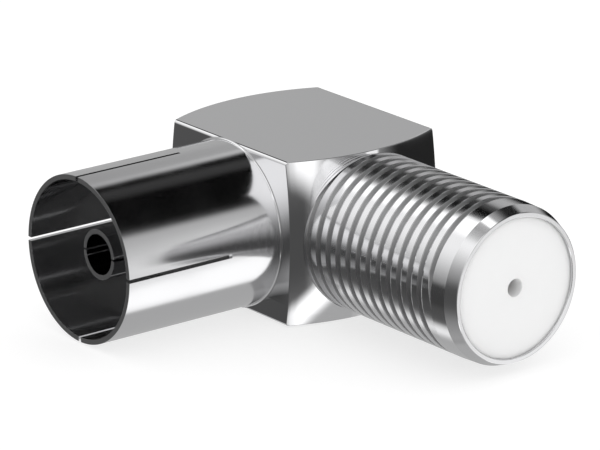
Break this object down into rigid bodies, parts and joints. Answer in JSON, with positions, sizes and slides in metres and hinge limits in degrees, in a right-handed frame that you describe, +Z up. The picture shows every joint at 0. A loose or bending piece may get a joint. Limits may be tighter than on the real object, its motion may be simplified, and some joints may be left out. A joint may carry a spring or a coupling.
{
  "type": "right-angle f connector",
  "caption": "Right-angle adapter with a threaded F socket on one arm and a slotted coaxial aerial socket on the other.",
  "frame": {"origin": "middle of the block's bottom face, directly under the point where the two arms' axes cross", "axes": "+X out of the F socket, -Y out of the slotted coaxial socket, +Z up, both arms' axes 5 mm above the origin"},
  "size_m": [0.0264, 0.0219, 0.01],
  "materials": {
    "plated_block": "bright plated",
    "plated_barrel": "bright plated",
    "plated_sleeve": "bright plated",
    "plated_contact": "bright plated",
    "bronze_contact": "bright",
    "white_insulator": "smooth moulded",
    "bead_plastic": "moulded"
  },
  "bodies": {
    "root": {"angle_body": "plated_block", "f_barrel": "plated_barrel", "f_insulator": "white_insulator", "f_rear_insulator": "bead_plastic", "f_contact": "bronze_contact", "coax_sleeve": "plated_sleeve", "coax_insulator": "bead_plastic", "coax_contact": "plated_contact"}
  },
  "joints": []
}
